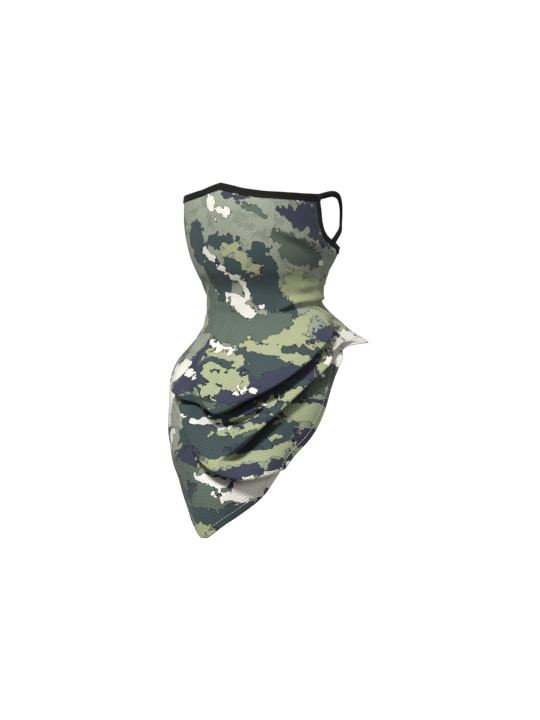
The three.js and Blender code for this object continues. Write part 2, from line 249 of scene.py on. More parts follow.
@dataclass(frozen=True)
class Fold:
    """A roll of cloth that hangs over a line, with a hollow under it.

    The line is where the roll's lower edge ends, in degrees and millimetres. The lip is how far
    the roll stands out, roll and hollow how far they reach above and below the line, and sag how
    far the roll hangs down over the hollow. Fade is over how many degrees each end dies away.
    Under is the hollow's depth as a share of the lip, and slot how much deeper it is just under
    the roll. Crease is how soft the step between them is, in millimetres.
    """

    line: Line
    lip: float
    roll: float
    hollow: float
    sag: float = 0.0
    fade: tuple[float, float] = (10.0, 12.0)
    under: float = 0.55
    crease: float = 1.1
    slot: float = 0.0

    def moves(self, angle: Array, height: Array) -> tuple[Array, Array]:
        """Finds how far the fold moves the cloth.

        Args:
            angle: degrees round the neck.
            height: millimetres.

        Returns:
            The move outward and the move upward, in millimetres.
        """
        first, last = self.line[0][0], self.line[-1][0]
        ends = (smoothstep(angle, first, first + self.fade[0])
                * (1.0 - smoothstep(angle, last - self.fade[1], last)))
        centre = curve_through(self.line, angle) + self.sag * ends
        step = curve_through(self.line, angle + 1.0) - curve_through(self.line, angle - 1.0)
        steep = step / (2.0 * ARC)
        away = (height - centre) / np.sqrt(1.0 + steep**2)
        over = 1.0 / (1.0 + np.exp(-np.clip(away / self.crease, -40, 40)))
        low = np.minimum(away, 0.0)
        above = np.exp(-(np.maximum(away, 0.0) / self.roll) ** 2)
        below = np.exp(-(low / self.hollow) ** 2)
        tucked = self.under * below + self.slot * np.exp(-(low / SLOT_REACH) ** 2)
        out = self.lip * ends * (over * above - (1.0 - over) * tucked)
        near = np.exp(-(away / (SAG_REACH * self.roll)) ** 2)
        return out, ends * self.sag * near * (SAG_RISE - SAG_SWING * over)


@dataclass(frozen=True)
class Swell:
    """A broad place where the cloth stands out, or in where the amount is negative."""

    angle: float
    height: float
    wide: float
    tall: float
    amount: float

    def moves(self, angle: Array, height: Array) -> Array:
        """Finds how far the swell moves the cloth.

        Args:
            angle: degrees round the neck.
            height: millimetres.

        Returns:
            The move outward, in millimetres.
        """
        across = folded(angle - self.angle) / self.wide
        up = (height - self.height) / self.tall
        return self.amount * np.exp(-(across**2) - up**2)


FOLDS = (
    # the collar's swag, which hangs over the drape from shoulder to shoulder
    Fold(((-22, -148), (-20, -153), (-13, -170), (-6, -194), (0, -214), (5, -221), (11, -218),
          (17, -211), (33, -194), (51, -171), (66, -151), (78, -139), (90, -130), (106, -124),
          (118, -121)),
         lip=16.0, roll=20.0, hollow=17.0, sag=7.0, fade=(16.0, 40.0), under=0.75, crease=0.7,
         slot=1.1),
    # its upright side on the wearer's right, and the small roll tucked under its tip
    Fold(((-26, -112), (-23, -122), (-21, -136), (-19.5, -150), (-17.5, -163), (-13, -182),
          (-9, -203), (-4, -216), (2, -222)),
         lip=6.0, roll=11.0, hollow=9.0, fade=(3.0, 8.0), under=0.8, crease=0.9, slot=0.8),
    Fold(((-10, -219), (-4, -226), (2, -229), (10, -228), (18, -223), (27, -214), (36, -206)),
         lip=7.0, roll=7.0, hollow=9.0, sag=1.5, fade=(9.0, 12.0), under=0.7, crease=0.8, slot=0.8),
    # the pleat from the left shoulder to the middle
    Fold(((8, -268), (12, -265), (16, -260), (25, -243), (38, -219), (50, -198), (60, -183),
          (71, -169), (81, -153), (96, -144), (116, -138)),
         lip=12.0, roll=12.0, hollow=14.0, sag=5.0, fade=(9.0, 34.0), under=0.75, crease=0.7,
         slot=1.0),
    # the lower swag
    Fold(((-40, -187), (-36, -192), (-29, -202), (-19, -222), (-12, -243), (-7, -258), (0, -274),
          (6, -283), (13, -289), (20, -291), (30, -288), (42, -279), (52, -268)),
         lip=12.0, roll=16.0, hollow=16.0, sag=5.0, fade=(26.0, 26.0), under=0.75, crease=0.7,
         slot=1.0),
    # the pleat under the collar from the right shoulder
    Fold(((-42, -182), (-36, -187), (-30, -193), (-22, -199), (-14, -206), (-6, -216), (0, -222)),
         lip=8.0, roll=10.0, hollow=12.0, sag=3.0, fade=(20.0, 7.0), under=0.8, crease=0.7,
         slot=0.7),
    # soft folds on the cheek, the neck and above the point
    Fold(((28, -17), (40, -23), (48, -28), (62, -33), (76, -37), (100, -43), (117, -46)),
         lip=3.8, roll=12.0, hollow=12.0, sag=0.8, fade=(22.0, 12.0), under=0.8, crease=2.2),
    Fold(((36, -108), (48, -105), (60, -100), (80, -97), (100, -95), (124, -92)),
         lip=4.2, roll=8.0, hollow=8.0, sag=1.2, fade=(20.0, 12.0), under=0.8, crease=1.0,
         slot=0.3),
    Fold(((60, -84), (80, -81), (100, -78), (126, -74)),
         lip=1.8, roll=6.0, hollow=7.0, sag=0.4, fade=(14.0, 12.0), under=0.8, crease=1.8),
    Fold(((84, -112), (100, -113), (128, -112)),
         lip=2.0, roll=6.0, hollow=7.0, sag=0.4, under=0.8, crease=1.8),
    Fold(((6, -302), (16, -301), (28, -296), (44, -280), (60, -259)),
         lip=2.6, roll=12.0, hollow=12.0, sag=0.5, under=0.8, crease=3.0),
    Fold(((-46, -92), (-30, -98), (-10, -104), (6, -106)),
         lip=1.4, roll=9.0, hollow=9.0, sag=0.3, fade=(12.0, 12.0), under=0.8, crease=3.0),
)
SWELLS = (
    Swell(126, -117, 24, 13, 8.0),
    Swell(-126, -117, 24, 13, 6.0),
    Swell(-62, -134, 24, 22, -9.0),
    Swell(30, -150, 26, 18, 4.0),
    Swell(96, -60, 26, 16, -2.0),
    Swell(10, -185, 40, 18, 4.0),
    Swell(116, -141, 9, 9, 8.0),
    Swell(94, -160, 18, 14, 9.0),
    Swell(-116, -141, 9, 9, 6.0),
)


@dataclass(frozen=True)
class Ripples:
    """Low uneven wrinkles that run side by side, between two heights.

    Pitch and amount are millimetres, and lean is degrees. The wrinkles wander and come and go
    over wander and patch millimetres, across and up.
    """

    pitch: float
    lean: float
    amount: float
    top: float
    foot: float
    ease: float = 15.0
    wander: tuple[float, float] = (31.0, 23.0)
    sway: tuple[float, float] = (2.1, 1.4)
    patch: tuple[float, float] = (43.0, 37.0)
    patch_start: tuple[float, float] = (1.3, 0.6)

    def moves(self, angle: Array, height: Array) -> Array:
        """Finds how far the wrinkles move the cloth.

        Args:
            angle: degrees round the neck.
            height: millimetres.

        Returns:
            The move outward, in millimetres.
        """
        turn = math.radians(self.lean)
        across = ARC * angle
        along = height * math.cos(turn) + np.abs(across) * math.sin(turn)
        phase = (2 * math.pi * along / self.pitch + self.sway[0] * np.sin(across / self.wander[0])
                 + self.sway[1] * np.sin(height / self.wander[1]))
        patchy = 0.5 + (0.5 * np.sin(across / self.patch[0] + self.patch_start[0])
                        * np.sin(height / self.patch[1] + self.patch_start[1]))
        shown = (smoothstep(height, self.foot, self.foot + self.ease)
                 * smoothstep(-height, -self.top, self.ease - self.top))
        return self.amount * shown * patchy * np.sin(phase)


RIPPLES = (
    Ripples(pitch=24.0, lean=-38.0, amount=1.0, top=-120.0, foot=-330.0),
    Ripples(pitch=16.0, lean=10.0, amount=0.7, top=-55.0, foot=-125.0),
    Ripples(pitch=40.0, lean=60.0, amount=0.7, top=10.0, foot=-90.0),
)


class WornForm:
    """The outer face of the worn cloth, with its folds."""

    def level(self, height: Array) -> list[Array]:
        """Reads the cross-section's sizes.

        Args:
            height: millimetres.

        Returns:
            Half breadth, reach forward, reach back and squareness.
        """
        tops = LEVELS[:, 0]
        height = np.clip(height, tops[-1], tops[0])
        i = piece_of(-tops, -height)
        before, after = np.maximum(i - 1, 0), np.minimum(i + 2, len(tops) - 1)
        span = tops[i + 1] - tops[i]
        t = (height - tops[i]) / span
        sizes = []
        for y in LEVELS.T[1:]:
            slopes = ((y[i + 1] - y[before]) / (tops[i + 1] - tops[before]),
                      (y[after] - y[i]) / (tops[after] - tops[i]))
            sizes.append(spanned(t, span, (y[i], y[i + 1]), slopes))
        return sizes

    def points(self, angle: Array, height: Array) -> Array:
        """Finds points of the cloth.

        Args:
            angle: degrees round the neck, wearer's left positive.
            height: millimetres.

        Returns:
            An array of x, y and z, in millimetres.
        """
        angle, height = np.broadcast_arrays(np.asarray(angle, float), np.asarray(height, float))
        half, front, back, square = self.level(height)
        sine, cosine = np.sin(np.radians(angle)), np.cos(np.radians(angle))
        reach = np.where(cosine > 0, front, back)
        radius = (np.abs(sine / half) ** square + np.abs(cosine / reach) ** square) ** (-1 / square)
        turned = folded(angle)
        drop = smoothstep(-height, FLARE_TOP, -SIDE_CORNER_HEIGHT)
        beside = (np.abs(turned) - SIDE_ANGLE) / FLARE_SPREAD
        radius = radius + CORNER_FLARE * drop * np.exp(-(beside ** 2))
        ridge = np.exp(-((turned / RIDGE_SPREAD) ** 2))
        radius = radius + NOSE_RIDGE * ridge * smoothstep(height, RIDGE_FOOT, RIDGE_TOP)
        lift = np.zeros_like(radius)
        for fold in FOLDS:
            out, up = fold.moves(turned, height)
            radius, lift = radius + out, lift + up
        for shape in SWELLS + RIPPLES:
            radius = radius + shape.moves(turned, height)
        return np.stack([radius * sine, -radius * cosine, height + lift], -1)


FORM = WornForm()


def nose_height(angle: Array) -> Array:
    """Returns the height of the edge over the nose and cheeks."""
    return curve_through(NOSE_EDGE, np.abs(folded(angle)))


def ear_height(angle: Array) -> Array:
    """Returns the height of the edge round the ears and nape."""
    return curve_through(EAR_EDGE, np.abs(folded(angle)))


def top_height(angle: Array) -> Array:
    """Returns the height of the front panel's upper edge."""
    return np.where(np.abs(angle) < CHEEK_ANGLE, nose_height(angle), ear_height(angle))


def hem_height(angle: Array) -> Array:
    """Finds the height of the front panel's hem, whose point is rounded.

    Args:
        angle: degrees round the neck.

    Returns:
        The height in millimetres.
    """
    turned = np.abs(folded(angle))
    rounded = np.sqrt(turned**2 + POINT_ROUND**2) - POINT_ROUND
    ease = np.exp(-((turned / POINT_EASE) ** 2))
    return curve_through(HEM_EDGE, turned + (rounded - turned) * ease)


def back_hem_height(angle: Array) -> Array:
    """Returns the height of the back panel's hem, which is level."""
    return np.full_like(angle, SIDE_CORNER_HEIGHT)


def evenly(angle: Array, height: Array, step: float) -> Array:
    """Spaces a line on the cloth evenly.

    Args:
        angle: degrees round the neck at each point of the line.
        height: height at each point.
        step: step in millimetres.

    Returns:
        Rows of angle and height.
    """
    length = lengths_along(FORM.points(angle, height))
    marks = np.linspace(0, length[-1], max(2, int(round(length[-1] / step)) + 1))
    return np.stack([np.interp(marks, length, angle), np.interp(marks, length, height)], -1)


def run(start: float, end: float, height_at: Callable[[Array], Array], step: float) -> Array:
    """Walks along an edge of the cloth in even steps.

    Args:
        start: first angle, in degrees.
        end: last angle, in degrees.
        height_at: the edge's height at an angle.
        step: step in millimetres.

    Returns:
        Rows of angle and height.
    """
    angle = np.linspace(start, end, 4000)
    return evenly(angle, height_at(angle), step)


# ---------------------------------------------------------------- the print's layout
class Ink(Enum):
    """The colours of the printed camouflage, from the first printed to the last."""

    MOSS = "moss"
    SLATE = "slate"
    NAVY = "navy"
    OLIVE = "olive"
    CREAM = "cream"


# Patches of each ink: degrees, height, half width, half height in millimetres, tilt in degrees.
PATCHES: dict[Ink, tuple[tuple[float, ...], ...]] = {
    Ink.MOSS: (
        (60, -42, 36, 13, -10), (45, -28, 18, 7, -20), (82, -50, 16, 8, 0),
        (-24, -112, 40, 20, 0), (12, -126, 62, 17, 0), (45, -114, 24, 10, 0),
        (-28, -90, 14, 10, 0), (0, -205, 30, 8, 0), (14, -214, 28, 8, 10),
        (22, -246, 22, 12, 20), (-4, -256, 20, 10, 0), (72, -172, 26, 20, 0),
        (84, -163, 18, 20, 0), (60, -190, 20, 9, 0), (-20, -284, 24, 20, 0),
        (-42, -262, 10, 22, 0), (0, -297, 26, 9, -15), (-4, -310, 34, 13, 0),
        (80, -198, 20, 8, 0), (-40, -12, 12, 10, -20), (22, 4, 14, 4, -25),
    ),
    Ink.SLATE: (
        (42, -152, 46, 16, 10), (30, -205, 52, 22, 25), (8, -172, 34, 22, 0),
        (-22, -32, 14, 24, 0), (-12, -68, 18, 24, 0), (0, -30, 20, 8, 0), (26, -42, 9, 12, -45),
        (30, -62, 20, 15, -40), (30, -86, 34, 16, -20), (48, -99, 24, 8, -20),
        (5, -62, 16, 11, -30), (76, 2, 10, 22, 0), (70, 20, 14, 7, 0), (33, -172, 38, 20, -10),
        (20, -150, 16, 8, 0), (-12, -212, 20, 14, 0), (-8, -240, 22, 28, 0),
        (10, -252, 26, 16, 0), (34, -243, 28, 12, 30), (-5, -328, 30, 9, 0),
        (16, -324, 26, 9, 22), (36, -301, 24, 6, 30), (-22, -312, 12, 20, 0),
        (6, -336, 14, 7, 0), (-38, -235, 6, 9, 0),
    ),
    Ink.NAVY: (
        (13, 21, 17, 5, 0), (50, -1, 17, 6, -20), (61, -3, 13, 17, -50), (72, -18, 11, 9, -50),
        (86, -29, 15, 5, -20), (80, -130, 22, 8, 10), (92, -122, 9, 10, -50),
        (70, -136, 10, 5, 0), (101, -132, 13, 6, -20), (104, -104, 4, 11, -50),
        (10, -188, 40, 17, -8), (-6, -178, 15, 15, 0), (38, -178, 30, 8, 25),
        (28, -205, 30, 11, 30), (56, -170, 16, 9, 35), (14, -226, 30, 6, 0),
        (-20, -160, 13, 17, 0), (-20, -186, 11, 14, 0), (-14, -149, 9, 11, 0),
        (56, -247, 15, 13, 0), (22, -279, 27, 7, 8), (37, -272, 14, 7, 20), (66, -206, 20, 3, 0),
        (72, -150, 10, 5, 35), (-10, -263, 18, 9, 0), (20, -256, 14, 5, 0),
        (-26, -298, 3, 14, 20), (-10, -300, 5, 11, 15), (8, -290, 12, 3, -20),
    ),
    Ink.OLIVE: (
        (13, 23, 10, 2.5, 0), (7, -37, 12, 5.5, 5), (14, -49, 11, 7, -50),
        (22, -61, 9, 4.5, -15), (0, -42, 5, 4, 40), (52, -68, 7, 6, 60), (60, -72, 18, 10, 10),
        (82, -85, 56, 16, -4), (104, -80, 20, 12, 0), (112, -92, 14, 9, -50),
        (74, -93, 18, 5, -14), (46, -137, 25, 9, 10), (62, -118, 20, 6.5, 25),
        (70, -145, 22, 4, -2), (56, -128, 9, 8, 0), (28, -148, 26, 5, -12),
        (47, -158, 19, 5.5, -5), (16, -140, 5, 4, 60), (98, -107, 20, 8, -25),
        (84, -112, 14, 9, -15), (93, -112, 9, 7, -30), (112, -121, 8, 12, -45),
        (38, -139, 9, 7, 0), (6, -156, 20, 5, -14), (14, -163, 9, 4.5, 0), (9, -180, 22, 10, -5),
        (2, -190, 8, 8, 0), (18, -187, 8, 7, 0), (-4, -169, 7, 7, -30), (45, -197, 15, 5.5, 30),
        (33, -205, 8, 4, 20), (19, -222, 12, 3.5, 20), (67, -168, 5, 11, -30),
        (14, -237, 17, 4.5, 8), (24, -231, 8, 3, 0), (56, -216, 29, 11, -5),
        (67, -226, 20, 6, 0), (44, -211, 13, 7, 10), (20, -265, 38, 5, 12),
        (38, -257, 15, 6, 25), (2, -272, 13, 3.5, -20), (50, -257, 10, 3.5, -20),
        (38, -241, 4.5, 2.5, 20), (-3, -345, 13, 8, 0), (-9, -338, 6, 4, 0),
        (-46, -204, 6, 20, 0), (-33, -16, 3.5, 3.5, 0), (104, -137, 12, 3, 12),
        (70, -150, 4, 3, 0),
    ),
    Ink.CREAM: (
        (-6, 11, 5, 12, 12), (1, 2, 10, 3.5, -18), (-8, 23, 3.5, 4, 0), (6, 3, 4, 3, -50),
        (-15, -40, 4, 3, -45), (-11, -48, 7, 3, -45), (-5, -59, 9, 3.5, -45),
        (5, -69, 11, 3.2, -30), (12, -83, 13, 3.6, -60), (1, -95, 20, 6, -10),
        (11, -104, 19, 7.5, -14), (28, -101, 4, 1.5, 0), (-8, -143, 21, 3.4, -18),
        (4, -150, 8, 3, 0), (-22, -174, 5, 3.5, 0), (-34, -172, 12, 16, -50),
        (-42, -196, 13, 18, 0), (-40, -215, 9, 22, 0), (-32, -241, 6, 11, 10),
        (-5, -227, 12, 3.5, 0), (6, -233, 7, 2.5, -20), (-18, -221, 4, 1.6, 0),
        (30, -291, 40, 10, 18), (4, -291, 18, 5, -18), (20, -304, 20, 8, 10),
        (50, -267, 16, 5, 35), (54, 15, 2.6, 5.5, 0), (104, -36, 6, 2.5, -15),
        (92, -27, 6, 1.8, -30), (93, -52, 8, 2.5, 0), (22, -193, 6, 3, 0), (110, -142, 18, 6, 5),
        (106, -136, 14, 8, 5), (94, -142, 14, 8, 16), (84, -149, 12, 7, 32),
        (76, -160, 11, 6, 52), (70, -171, 9, 5, 62), (88, -151, 11, 5, 40),
        (82, -159, 10, 7, 46), (30, -207, 3, 1.2, 0),
    ),
}
# The far side and the back get patches of a similar size at places drawn from a seed.
FILL_SEED = 11
FILL_ANGLES = (124, 308)
FILL_HEIGHTS = (-290, 26)
FILL_GROWTH = (0.6, 1.3)
FILL_WIDE = (1.0, 1.7)
FILL_TALL = (0.35, 0.7)
FILL_TILT = (-35, 35)
FILL_COUNTS = {Ink.MOSS: 26, Ink.SLATE: 26, Ink.NAVY: 26, Ink.OLIVE: 34, Ink.CREAM: 20}
FILL_SIZES = {Ink.MOSS: 26.0, Ink.SLATE: 22.0, Ink.NAVY: 17.0, Ink.OLIVE: 17.0, Ink.CREAM: 12.0}
FAR_OUTSIDE = -30.0
PATCH_DEPTH = 0.9


def all_patches() -> dict[Ink, Array]:
    """Adds patches on the far side and the back to the placed ones.

    Returns:
        Rows of angle, height, half width, half height and tilt for each ink.
    """
    rng = np.random.default_rng(FILL_SEED)
    made = {}
    for ink in Ink:
        rows = list(PATCHES[ink])
        for _ in range(FILL_COUNTS[ink]):
            size = FILL_SIZES[ink] * rng.uniform(*FILL_GROWTH)
            rows.append((rng.uniform(*FILL_ANGLES), rng.uniform(*FILL_HEIGHTS),
                         size * rng.uniform(*FILL_WIDE), size * rng.uniform(*FILL_TALL),
                         rng.uniform(*FILL_TILT)))
        made[ink] = np.array(rows, float)
    return made


ALL_PATCHES = all_patches()


def ink_depth(ink: Ink, angle: Array, height: Array) -> Array:
    """Finds how far inside a patch of an ink each point is.

    Args:
        ink: the ink.
        angle: degrees round the neck.
        height: millimetres.

    Returns:
        The depth in millimetres, negative outside every patch.
    """
    best = np.full(angle.shape, FAR_OUTSIDE)
    for at, level, wide, tall, tilt in ALL_PATCHES[ink]:
        across, up = folded(angle - at) * ARC, height - level
        turn = math.radians(tilt)
        along = across * math.cos(turn) + up * math.sin(turn)
        over = up * math.cos(turn) - across * math.sin(turn)
        share = 1.0 - np.sqrt((along / wide) ** 2 + (over / tall) ** 2)
        best = np.maximum(best, share * math.sqrt(wide * tall) * PATCH_DEPTH)
    return best


# ---------------------------------------------------------------- finishes
def linear(hex_colour: str) -> tuple[float, float, float, float]:
    """Turns an sRGB colour into linear values.

    Args:
        hex_colour: the colour, as # and six hex digits.

    Returns:
        Red, green, blue and full alpha.
    """
    parts = [int(hex_colour[i:i + 2], 16) / 255 for i in (1, 3, 5)]
    values = [v / 12.92 if v <= 0.04045 else ((v + 0.055) / 1.055) ** 2.4 for v in parts]
    return (values[0], values[1], values[2], 1.0)


def add(tree: Tree, kind: str, settings: dict | None = None,
        inputs: dict | None = None) -> bpy.types.Node:
    """Adds a node.

    Args:
        tree: the material's nodes.
        kind: the node's type, without its ShaderNode prefix.
        settings: attributes to set.
        inputs: socket name or number to a value, or to the output to link.

    Returns:
        The new node.
    """
    node = tree.nodes.new("ShaderNode" + kind)
    for name, value in (settings or {}).items():
        setattr(node, name, value)
    for name, value in (inputs or {}).items():
        if isinstance(value, bpy.types.NodeSocket):
            tree.links.new(value, node.inputs[name])
        else:
            node.inputs[name].default_value = value
    return node


def blank(name: str) -> tuple[Material, Tree]:
    """Makes a material with no nodes.

    Args:
        name: the material's name.

    Returns:
        The material and its nodes.
    """
    made = bpy.data.materials.new(name)
    made.use_nodes = True
    made.node_tree.nodes.clear()
    return made, made.node_tree


def cloth_place(tree: Tree) -> Socket:
    """Reads where a point lies on the flat cloth.

    Args:
        tree: the material's nodes.

    Returns:
        The place across and up, in millimetres.
    """
    cloth = add(tree, "UVMap", {"uv_map": "cloth"})
    return add(tree, "VectorMath", {"operation": "SCALE"},
               {0: cloth.outputs[0], "Scale": PER_METRE}).outputs[0]


@dataclass(frozen=True)
class PrintedKnit:
    """Polyester bird's-eye knit, heat printed with camouflage."""

    # Fine polyester yarn is knitted in bird's-eye stitch, which leaves rows of small staggered
    # dimples, and the inks are pressed into it with heat. The eye sees a matt, faintly dry cloth:
    # flat colours with ragged edges and thin darker outlines, broken up by painted shade in the
    # dimples and painted light between them. On its back, which isn't printed, it is pale, and the
    # print only just shows through.
    name: str = "printed_birdseye_knit"
    sage: str = "#969c8c"
    sage_blotch: str = "#858c7c"
    outline: str = "#6c7278"
    unprinted: str = "#dcdcd2"
    inks: tuple[tuple[Ink, str], ...] = (
        (Ink.MOSS, "#5b685d"), (Ink.SLATE, "#3e4c4e"), (Ink.NAVY, "#3b3e50"),
        (Ink.OLIVE, "#a4ab86"), (Ink.CREAM, "#ebe8de"),
    )
    fade: float = 0.0                            # share of the print lost on the cloth's back
    # All sizes are millimetres. The dimples are half the repeat of their staggered rows: the real
    # ones are nearer 1 mm, and these are as coarse as they must be to show.
    dimple_across: float = 2.1
    dimple_up: float = 1.9
    # painted shade in the dimples, and painted light on the cloth between them
    dimple_shade: float = 0.34
    painted_light_between_dimples: float = 1.09
    relief: float = 0.6
    yarn: float = 0.4167                         # one loop of the knit
    blotch: float = 11.11                        # the ground's faint blotches
    bay: float = 10.0                            # bays and tongues of a patch's edge
    bay_reach: float = 13.0
    tooth: float = 5.556                         # ragged teeth along the edge
    tooth_reach: float = 15.0
    edge: tuple[float, float] = (-0.12, 0.12)
    outline_edge: tuple[float, float] = (-1.3, -0.9)
    apart: tuple[float, float, float] = (37.0, 11.0, 5.0)   # sets each ink's edge apart
    roughness: float = 0.82                      # brushed matt yarn

    def build(self) -> Material:
        """Makes the material from the cloth's own coordinates and its ink depths.

        Returns:
            The material.
        """
        made, tree = blank(self.name)
        place = cloth_place(tree)
        worn = add(tree, "Attribute", {"attribute_name": "worn"}).outputs["Vector"]
        colour = self.ground(tree, worn)
        for number in range(len(self.inks)):
            colour = self.print_ink(tree, worn, colour, number)
        dimple = self.dimples(tree, place)
        pale = add(tree, "Mix", {"data_type": "RGBA", "blend_type": "MIX"},
                   {0: self.fade, 6: colour, 7: linear(self.unprinted)})
        # painted shade and light: the colour is darker in the dimples and a little lighter than the
        # print between them
        darker = add(tree, "Math", {"operation": "MULTIPLY_ADD"},
                     {0: dimple, 1: -self.dimple_shade, 2: self.painted_light_between_dimples}).outputs[0]
        grey = add(tree, "CombineColor", {}, {0: darker, 1: darker, 2: darker})
        shaded = add(tree, "Mix", {"data_type": "RGBA", "blend_type": "MULTIPLY"},
                     {0: 1.0, 6: pale.outputs[2], 7: grey.outputs[0]})
        yarn = add(tree, "TexNoise", {}, {"Vector": place, "Scale": 1.0 / self.yarn, "Detail": 2.0})
        height = add(tree, "Math", {"operation": "MULTIPLY_ADD"},
                     {0: dimple, 1: -1.0, 2: yarn.outputs[0]})
        bump = add(tree, "Bump", {}, {"Strength": 0.55, "Distance": self.relief * MM,
                                      "Height": height.outputs[0]})
        skin = add(tree, "BsdfPrincipled", {}, {
            "Base Color": shaded.outputs[2], "Roughness": self.roughness, "IOR": 1.5,
            "Specular IOR Level": 0.25, "Sheen Weight": 0.12, "Sheen Roughness": 0.5,
            "Normal": bump.outputs[0]})
        add(tree, "OutputMaterial", {}, {0: skin.outputs[0]})
        return made

    def ground(self, tree: Tree, worn: Socket) -> Socket:
        """Prints the sage ground with its faint blotches.

        Args:
            tree: the material's nodes.
            worn: where the cloth lies when worn at rest, in millimetres.

        Returns:
            The ground's colour.
        """
        blotch = add(tree, "TexNoise", {}, {"Vector": worn, "Scale": 1.0 / self.blotch,
                                            "Detail": 5.0, "Roughness": 0.65})
        mask = add(tree, "MapRange", {}, {0: blotch.outputs[0], 1: 0.54, 2: 0.57})
        return add(tree, "Mix", {"data_type": "RGBA"},
                   {0: mask.outputs[0], 6: linear(self.sage),
                    7: linear(self.sage_blotch)}).outputs[2]

    def print_ink(self, tree: Tree, worn: Socket, under: Socket, number: int) -> Socket:
        """Prints one ink over the colour under it.

        Args:
            tree: the material's nodes.
            worn: where the cloth lies when worn at rest, in millimetres.
            under: the colour so far.
            number: which of the inks this is, which also sets its ragged edge apart.

        Returns:
            The colour with the ink on it.
        """
        ink, value = self.inks[number]
        depth = add(tree, "Attribute", {"attribute_name": ink.value})
        shift = (self.apart[0] * number, self.apart[1], self.apart[2])
        moved = add(tree, "VectorMath", {"operation": "ADD"}, {0: worn, 1: shift}).outputs[0]
        bays = add(tree, "TexNoise", {}, {"Vector": moved, "Scale": 1.0 / self.bay, "Detail": 0.0})
        teeth = add(tree, "TexNoise", {}, {"Vector": moved, "Scale": 1.0 / self.tooth,
                                           "Detail": 1.3, "Roughness": 0.45, "Distortion": 0.4})
        wide = add(tree, "Math", {"operation": "MULTIPLY_ADD"},
                   {0: bays.outputs[0], 1: self.bay_reach, 2: depth.outputs["Fac"]})
        fine = add(tree, "Math", {"operation": "MULTIPLY_ADD"},
                   {0: teeth.outputs[0], 1: self.tooth_reach, 2: wide.outputs[0]})
        inside = add(tree, "Math", {"operation": "ADD"},
                     {0: fine.outputs[0], 1: -(self.bay_reach + self.tooth_reach) / 2})
        mask = add(tree, "MapRange", {}, {0: inside.outputs[0], 1: self.edge[0], 2: self.edge[1]})
        near = add(tree, "MapRange", {}, {0: inside.outputs[0], 1: self.outline_edge[0],
                                          2: self.outline_edge[1]})
        outlined = add(tree, "Mix", {"data_type": "RGBA", "blend_type": "MULTIPLY"},
                       {0: near.outputs[0], 6: under, 7: linear(self.outline)})
        return add(tree, "Mix", {"data_type": "RGBA"},
                   {0: mask.outputs[0], 6: outlined.outputs[2], 7: linear(value)}).outputs[2]

    def dimples(self, tree: Tree, place: Socket) -> Socket:
        """Sinks the knit's staggered dimples.

        Args:
            tree: the material's nodes.
            place: where a point lies on the flat cloth, in millimetres.

        Returns:
            The dimples' depth, 0 to 1.
        """
        parts = add(tree, "SeparateXYZ", {}, {0: place})
        waves = []
        for side, repeat in enumerate((self.dimple_across, self.dimple_up)):
            turns = add(tree, "Math", {"operation": "MULTIPLY"},
                        {0: parts.outputs[side], 1: math.pi / repeat})
            waves.append(add(tree, "Math", {"operation": "SINE"}, {0: turns.outputs[0]}).outputs[0])
        both = add(tree, "Math", {"operation": "MULTIPLY"}, {0: waves[0], 1: waves[1]})
        return add(tree, "MapRange", {"interpolation_type": "SMOOTHSTEP"},
                   {0: both.outputs[0], 1: 0.0, 2: 0.9}).outputs[0]


@dataclass(frozen=True)
class StretchTape:
    """Black elastane binding tape, woven with fine ribs along its length."""

    # Elastane and nylon are woven in a narrow ribbed tape and folded over the cloth's edge. The
    # eye sees a soft, dull, nearly black band, whose ribs and fuzz only just catch the light.
    name: str = "black_stretch_binding"
    colour: str = "#0c0e0c"
    fuzz_colour: str = "#171a17"
    rib: float = 0.9                             # millimetres from rib to rib
    fuzz: float = 0.7692                         # millimetres across a tuft of fuzz
    relief: float = 0.3

    def build(self) -> Material:
        """Makes the material.

        Returns:
            The material.
        """
        made, tree = blank(self.name)
        place = cloth_place(tree)
        parts = add(tree, "SeparateXYZ", {}, {0: place})
        turns = add(tree, "Math", {"operation": "MULTIPLY"},
                    {0: parts.outputs[0], 1: 2 * math.pi / self.rib})
        rib = add(tree, "Math", {"operation": "SINE"}, {0: turns.outputs[0]})
        fuzz = add(tree, "TexNoise", {}, {"Vector": place, "Scale": 1.0 / self.fuzz, "Detail": 4.0})
        height = add(tree, "Math", {"operation": "MULTIPLY_ADD"},
                     {0: rib.outputs[0], 1: 0.3, 2: fuzz.outputs[0]})
        bump = add(tree, "Bump", {}, {"Strength": 0.5, "Distance": self.relief * MM,
                                      "Height": height.outputs[0]})
        tone = add(tree, "Mix", {"data_type": "RGBA"},
                   {0: fuzz.outputs[0], 6: linear(self.colour), 7: linear(self.fuzz_colour)})
        skin = add(tree, "BsdfPrincipled", {}, {
            "Base Color": tone.outputs[2], "Roughness": 0.85, "IOR": 1.5,
            "Specular IOR Level": 0.2, "Sheen Weight": 0.03, "Normal": bump.outputs[0]})
        add(tree, "OutputMaterial", {}, {0: skin.outputs[0]})
        return made


@dataclass(frozen=True)
class SpunThread:
    """Spun polyester sewing thread."""

    # Short polyester fibres are spun and twisted into thread. The eye sees small raised dashes
    # with a slight gloss, lighter and darker along the twist.
    name: str
    colour: str
    shade: str
    twist: float = 0.7143                        # millimetres from twist to twist

    def build(self) -> Material:
        """Makes the material.

        Returns:
            The material.
        """
        made, tree = blank(self.name)
        spot = add(tree, "TexCoord")
        twist = add(tree, "TexNoise", {}, {"Vector": spot.outputs["Object"],
                                           "Scale": PER_METRE / self.twist, "Detail": 2.0})
        tone = add(tree, "Mix", {"data_type": "RGBA"},
                   {0: twist.outputs[0], 6: linear(self.shade), 7: linear(self.colour)})
        skin = add(tree, "BsdfPrincipled", {}, {
            "Base Color": tone.outputs[2], "Roughness": 0.6, "IOR": 1.5, "Sheen Weight": 0.1})
        add(tree, "OutputMaterial", {}, {0: skin.outputs[0]})
        return made


